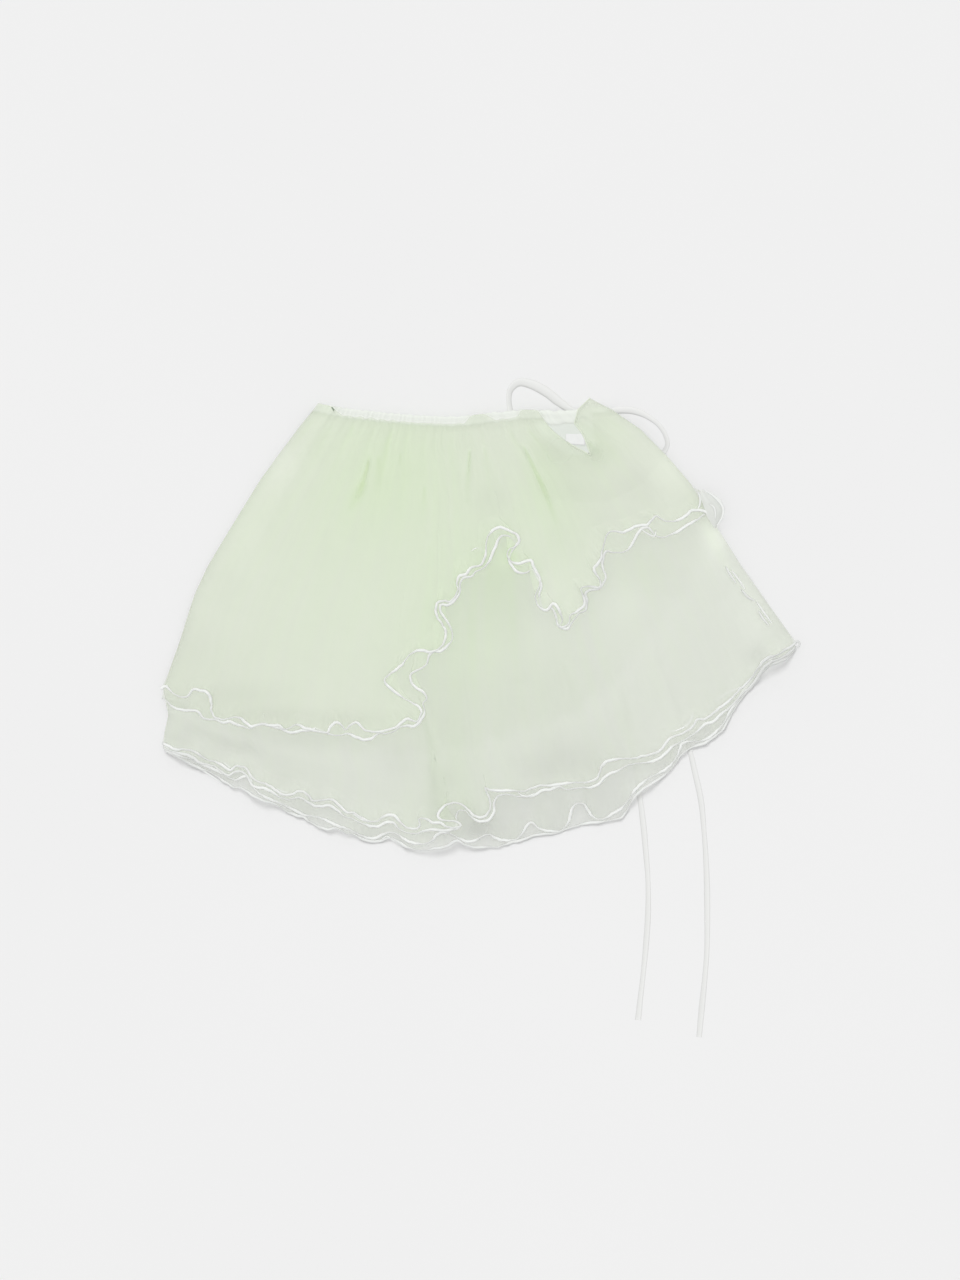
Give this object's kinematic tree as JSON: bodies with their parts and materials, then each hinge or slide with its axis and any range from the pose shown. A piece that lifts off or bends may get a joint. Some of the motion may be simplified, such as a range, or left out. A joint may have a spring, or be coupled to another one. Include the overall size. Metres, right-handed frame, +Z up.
{
  "type": "tutu skirt",
  "caption": "Tiered skirt of sheer gathered cloth laid flat, with wavy rolled hems, a gathered elastic waist and a narrow tape tied in a bow, its free ends on the surface.",
  "frame": {"origin": "under the middle of the skirt laid flat, on the surface it lies on, the tape left out", "axes": "X runs across the skirt to its opening side, Y from the hem to the waist, Z up off the surface"},
  "size_m": [0.6375, 0.6579, 0.023],
  "materials": {
    "outer_cloth": "sheer",
    "under_cloth": "sheer",
    "waist_elastic": "gathered",
    "label": "satin",
    "tape": "satin"
  },
  "bodies": {
    "root": {"outer_front_face": "outer_cloth", "outer_front_backing": "outer_cloth", "under_front_face": "under_cloth", "under_front_backing": "under_cloth", "under_back_face": "under_cloth", "under_back_backing": "under_cloth", "outer_back_face": "outer_cloth", "outer_back_backing": "outer_cloth", "waistband_front": "waist_elastic", "waistband_back": "waist_elastic", "waist_label": "label", "bow_knot": "tape", "bow_loop_left": "tape", "bow_loop_right": "tape", "tail_left": "tape", "tail_right": "tape"}
  },
  "joints": []
}
